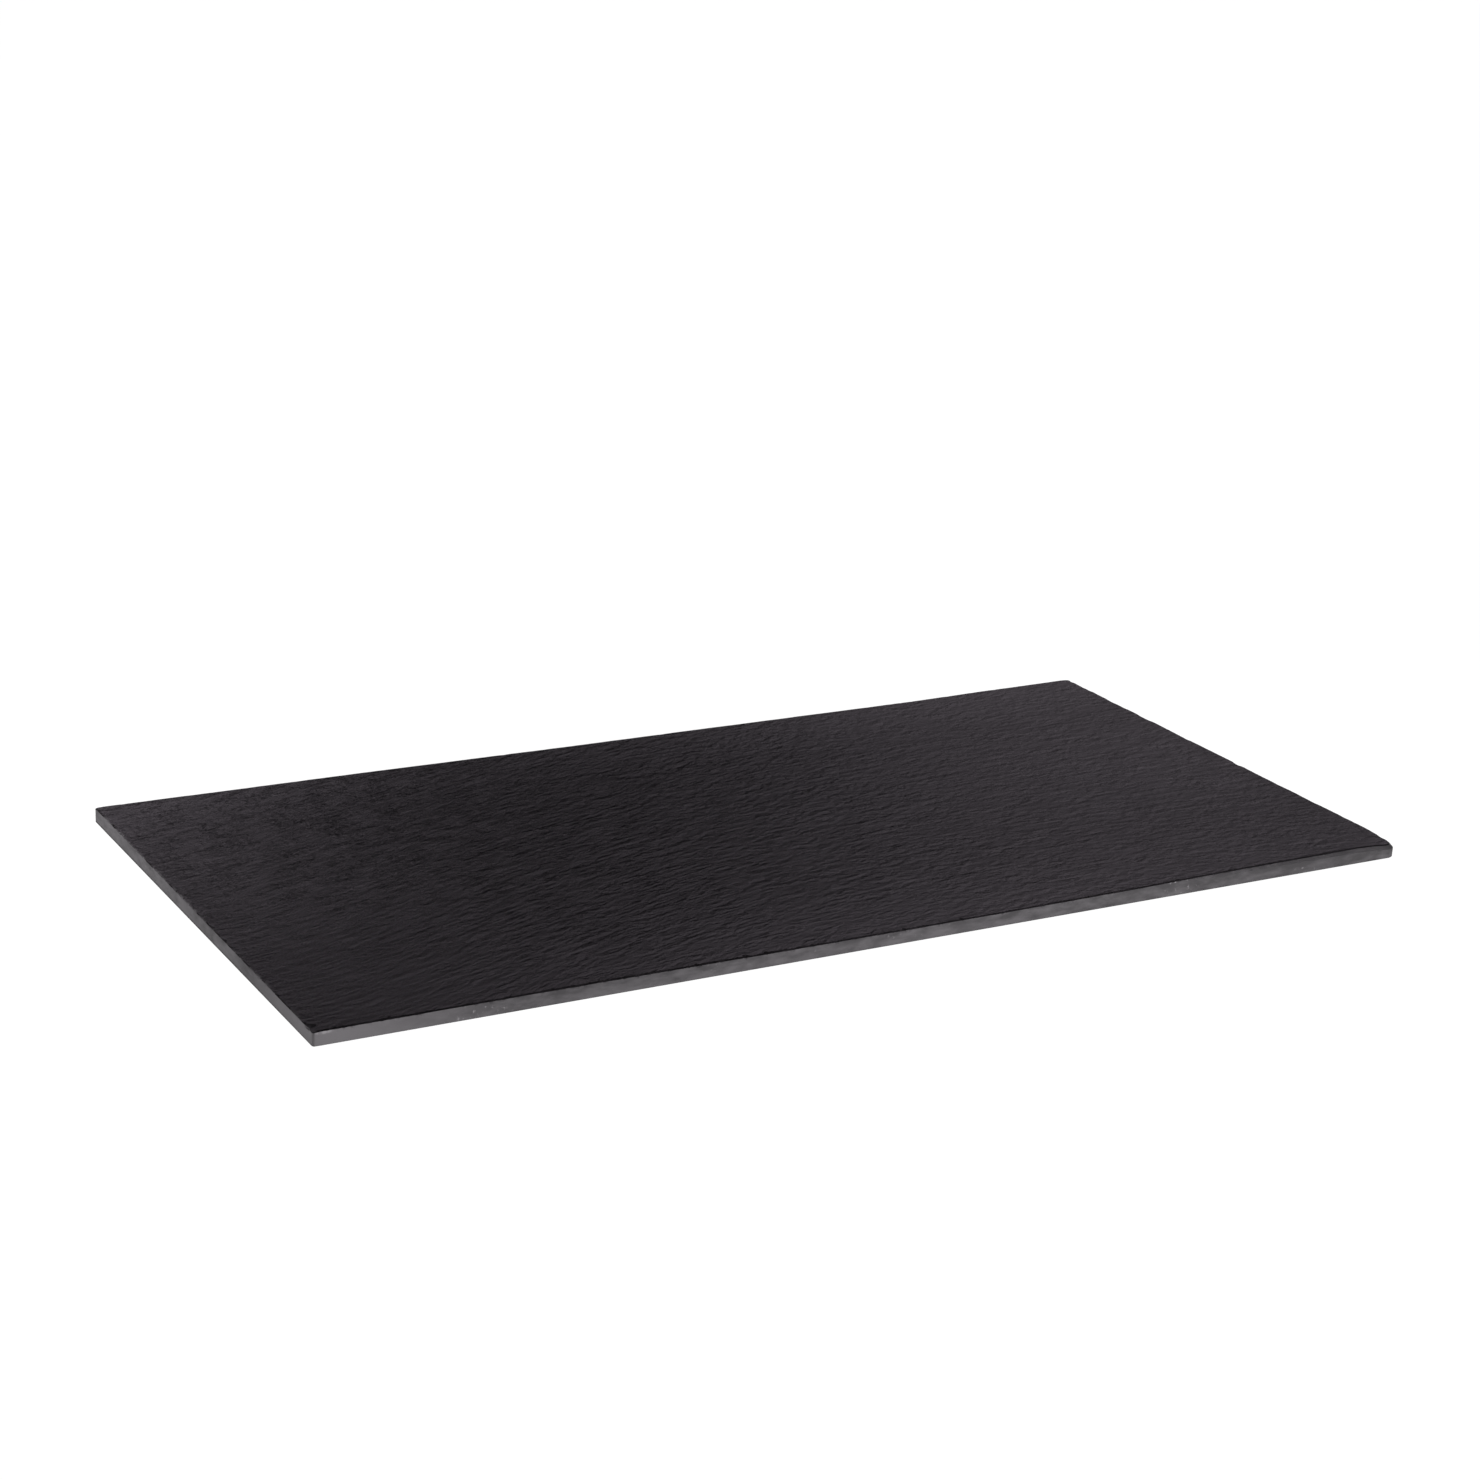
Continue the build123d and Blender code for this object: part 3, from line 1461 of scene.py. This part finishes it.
@dataclass(frozen=True)
class AdhesiveFinish:
    """Pale pressure-sensitive adhesive, slightly clouded. Marks are counted per metre."""

    name: str = "foot_adhesive"
    dark: Colour = (0.50, 0.46, 0.38)
    pale: Colour = (0.66, 0.62, 0.54)
    roughness: float = 0.35
    clouds: float = 300.0
    dimples: float = 700.0
    dimple_depth: float = 0.02 * MM

    def make(self) -> bpy.types.Material:
        """Builds the material.

        Returns:
            The finished material.
        """
        nodes = Nodes(self.name)
        clouds = nodes.speckle(self.clouds, detail=2.0)
        nodes.link(nodes.mix(clouds, self.dark, self.pale), nodes.shader.inputs["Base Color"])
        nodes.gloss(self.roughness)
        nodes.bump(nodes.speckle(self.dimples, detail=2.0), self.dimple_depth)
        return nodes.material


@dataclass(frozen=True)
class FloorFinish:
    """A white sweep, lit from below so evenly that it takes no shadow."""

    name: str = "white_sweep"
    colour: Colour = (0.05, 0.05, 0.05)
    glow: float = 1.0

    def make(self) -> bpy.types.Material:
        """Builds the material.

        Returns:
            The finished material.
        """
        nodes = Nodes(self.name)
        nodes.shader.inputs["Base Color"].default_value = (*self.colour, 1.0)
        nodes.gloss(roughness=1.0, specular=0.0)
        nodes.shader.inputs["Emission Color"].default_value = (1.0, 1.0, 1.0, 1.0)
        nodes.shader.inputs["Emission Strength"].default_value = self.glow
        nodes.material.cycles.emission_sampling = "NONE"
        return nodes.material


def way_to(bearing: float, elevation: float) -> Vector:
    """Turns a bearing, clockwise from the back, and an elevation, both in degrees, into a unit vector."""
    turn, rise = math.radians(bearing), math.radians(elevation)
    return Vector((math.sin(turn) * math.cos(rise), math.cos(turn) * math.cos(rise), math.sin(rise)))


@dataclass(frozen=True)
class Lamp:
    """A studio light: where it hangs, seen from the place it is aimed at, and its power."""

    name: str
    bearing: float
    elevation: float
    distance: float
    watts: float
    aim: tuple[float, float] = (0.0, 0.0)

    def hang(self, kind: str, tint: Colour) -> bpy.types.Light:
        """Hangs the light and turns it to its aim.

        Args:
            kind: Blender's type of light.
            tint: The light's colour.

        Returns:
            The light's data.
        """
        way = way_to(self.bearing, self.elevation)
        bpy.ops.object.light_add(type=kind, location=Vector((*self.aim, 0.0)) + way * self.distance)
        light = bpy.context.object
        light.name = self.name
        light.rotation_euler = way.to_track_quat("Z", "Y").to_euler()
        light.data.energy = self.watts
        light.data.color = tint
        return light.data


@dataclass(frozen=True)
class Softbox(Lamp):
    """A lamp behind a rectangular diffuser."""

    width: float = 1.0
    height: float = 0.7

    def light(self, tint: Colour) -> None:
        """Hangs the softbox.

        Args:
            tint: The light's colour.
        """
        lamp = self.hang("AREA", tint)
        lamp.shape = "RECTANGLE"
        lamp.size = self.width
        lamp.size_y = self.height


@dataclass(frozen=True)
class Spotlight(Lamp):
    """A lamp with a round pool of light that fades out towards its rim."""

    cone: float = 20.0
    lens: float = 0.15

    def light(self, tint: Colour) -> None:
        """Hangs the spotlight.

        Args:
            tint: The light's colour.
        """
        lamp = self.hang("SPOT", tint)
        lamp.spot_size = math.radians(self.cone)
        lamp.spot_blend = 1.0
        lamp.shadow_soft_size = self.lens


@dataclass(frozen=True)
class Studio:
    """The white floor, the soft light and the camera.

    The sky is a list of pairs: the height of a direction above the horizon, and the light from there.
    """

    underside: float
    floor_size: float = 30.0
    azimuth: float = -29.84
    elevation: float = 18.62
    roll: float = 2.70
    distance: float = 1.4316
    aim: tuple[float, float] = (0.058772, 0.117955)
    aim_rise: float = 0.14 * MM
    lens: float = 74.19
    sensor: float = 36.0
    tint: Colour = (1.0, 0.955, 1.0)
    sky: tuple[tuple[float, float], ...] = ((0.0, 0.0), (0.30, 0.005), (0.50, 0.03), (0.95, 0.12))
    lamps: tuple[Softbox | Spotlight, ...] = (
        Softbox("softbox_front", 156.0, 9.5, 3.5, 180.0, width=2.0, height=0.8),
        Softbox("softbox_left", -95.0, 5.0, 2.0, 27.0, width=0.8, height=0.3),
        Spotlight("spot_right", 120.0, 65.0, 1.6, 165.0, aim=(0.23, 0.06), cone=17.5),
        Spotlight("spot_left", -110.0, 65.0, 1.6, 250.0, aim=(-0.33, 0.12), cone=16.0),
        Spotlight("spot_front", 180.0, 62.0, 1.6, 150.0, aim=(0.02, -0.28), cone=19.0),
    )

    def build(self) -> None:
        """Sets up the floor, the light and the camera."""
        self.lay_floor()
        self.light_sky()
        for lamp in self.lamps:
            lamp.light(self.tint)
        self.set_camera()
        bpy.context.scene.view_settings.view_transform = "Standard"

    def lay_floor(self) -> None:
        """Lays the floor that the feet stand on."""
        bpy.ops.object.select_all(action="DESELECT")
        bpy.ops.mesh.primitive_plane_add(size=self.floor_size)
        floor = bpy.context.object
        floor.name = "studio_floor"
        floor.data.materials.append(FloorFinish().make())

    def light_sky(self) -> None:
        """Makes an even overhead light that dims towards the horizon."""
        world = bpy.data.worlds.new("studio_sky")
        bpy.context.scene.world = world
        world.use_nodes = True
        tree = world.node_tree
        background = tree.nodes["Background"]
        way = tree.nodes.new("ShaderNodeTexCoord")
        parts = tree.nodes.new("ShaderNodeSeparateXYZ")
        rise = tree.nodes.new("ShaderNodeValToRGB")
        stops = rise.color_ramp.elements
        for height, _ in self.sky[2:]:
            stops.new(height)
        for stop, (height, level) in zip(stops, self.sky):
            stop.position = height
            stop.color = (*(level * share for share in self.tint), 1.0)
        tree.links.new(way.outputs["Generated"], parts.inputs["Vector"])
        tree.links.new(parts.outputs["Z"], rise.inputs["Fac"])
        tree.links.new(rise.outputs["Color"], background.inputs["Color"])

    def set_camera(self) -> None:
        """Puts the camera at the photograph's viewpoint."""
        turn = (
            Matrix.Rotation(math.radians(self.azimuth), 4, "Z")
            @ Matrix.Rotation(math.radians(90.0 - self.elevation), 4, "X")
            @ Matrix.Rotation(math.radians(self.roll), 4, "Z")
        )
        aim = Vector((*self.aim, self.underside + self.aim_rise))
        eye = aim + turn.to_3x3() @ Vector((0.0, 0.0, self.distance))
        bpy.ops.object.camera_add(location=eye, rotation=turn.to_euler())
        camera = bpy.context.object
        camera.name = "photograph_view"
        camera.data.lens = self.lens
        camera.data.sensor_width = self.sensor
        camera.data.clip_end = 2 * self.floor_size
        bpy.context.scene.camera = camera


def main() -> None:
    """Builds the slab, dresses every piece and sets up the studio."""
    logging.basicConfig(level=logging.INFO, format="%(message)s")
    rubber = RubberFinish().make()
    adhesive = AdhesiveFinish().make()
    feet = [Foot(corner) for corner in Corner]
    for foot in feet:
        foot.dress(rubber, adhesive)

    low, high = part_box("slate_slab")
    slate = RivenSlab(low, high)
    slate.dress(slate.build([foot.middle for foot in feet]))

    Studio(underside=low.z).build()


if __name__ == "__main__":
    main()
